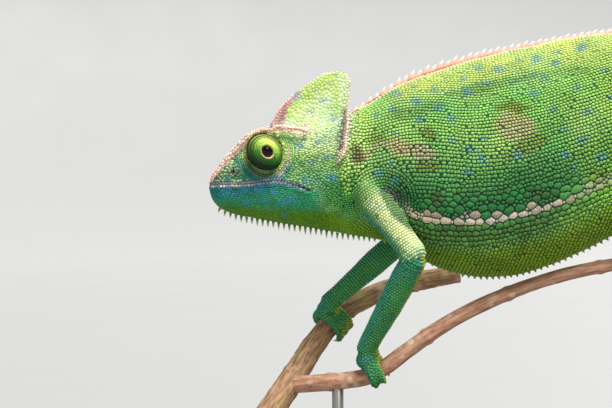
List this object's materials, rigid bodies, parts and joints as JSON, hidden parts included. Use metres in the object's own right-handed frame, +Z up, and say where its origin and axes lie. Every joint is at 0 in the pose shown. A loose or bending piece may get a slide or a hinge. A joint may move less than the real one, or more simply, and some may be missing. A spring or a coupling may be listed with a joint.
{
  "type": "chameleon",
  "caption": "Life-size still model of a veiled chameleon gripping a forked twig with its feet, tail coiled, on a flat base with two rods.",
  "frame": {"origin": "bottom centre of the whole model, on the surface that the base stands on", "axes": "+X from the nose towards the tail, -Y on the animal's left side, +Z up"},
  "size_m": [0.2008, 0.092, 0.1389],
  "materials": {
    "skin": "scaly, satin",
    "throat": "scaly, satin",
    "casque": "scaly, satin",
    "turret": "finely ringed, satin",
    "pupil": "wet gloss",
    "limb": "scaly, satin",
    "bark": "thin dry bark",
    "base": "dark stained, satin",
    "rod": "satin"
  },
  "bodies": {
    "root": {"head": "skin", "lower_jaw": "throat", "casque": "casque", "neck": "skin", "chest": "skin", "belly": "skin", "pelvis": "skin", "eye_turret_left": "turret", "eyeball_left": "pupil", "eye_turret_right": "turret", "eyeball_right": "pupil", "upper_arm_front_left": "limb", "forearm_front_left": "limb", "hand_front_left": "limb", "toes_outer_front_left": "limb", "toes_inner_front_left": "limb", "upper_arm_front_right": "limb", "forearm_front_right": "limb", "hand_front_right": "limb", "toes_outer_front_right": "limb", "toes_inner_front_right": "limb", "thigh_hind_left": "limb", "shank_hind_left": "limb", "foot_hind_left": "limb", "toes_outer_hind_left": "limb", "toes_inner_hind_left": "limb", "thigh_hind_right": "limb", "shank_hind_right": "limb", "foot_hind_right": "limb", "toes_outer_hind_right": "limb", "toes_inner_hind_right": "limb", "tail_base": "skin", "tail_middle": "skin", "tail_coil_outer": "skin", "tail_coil_lower": "skin", "tail_tip": "skin", "perch_branch": "bark", "perch_twig": "bark", "stand_base": "base", "stand_rod_front": "rod", "stand_rod_rear": "rod"}
  },
  "joints": []
}
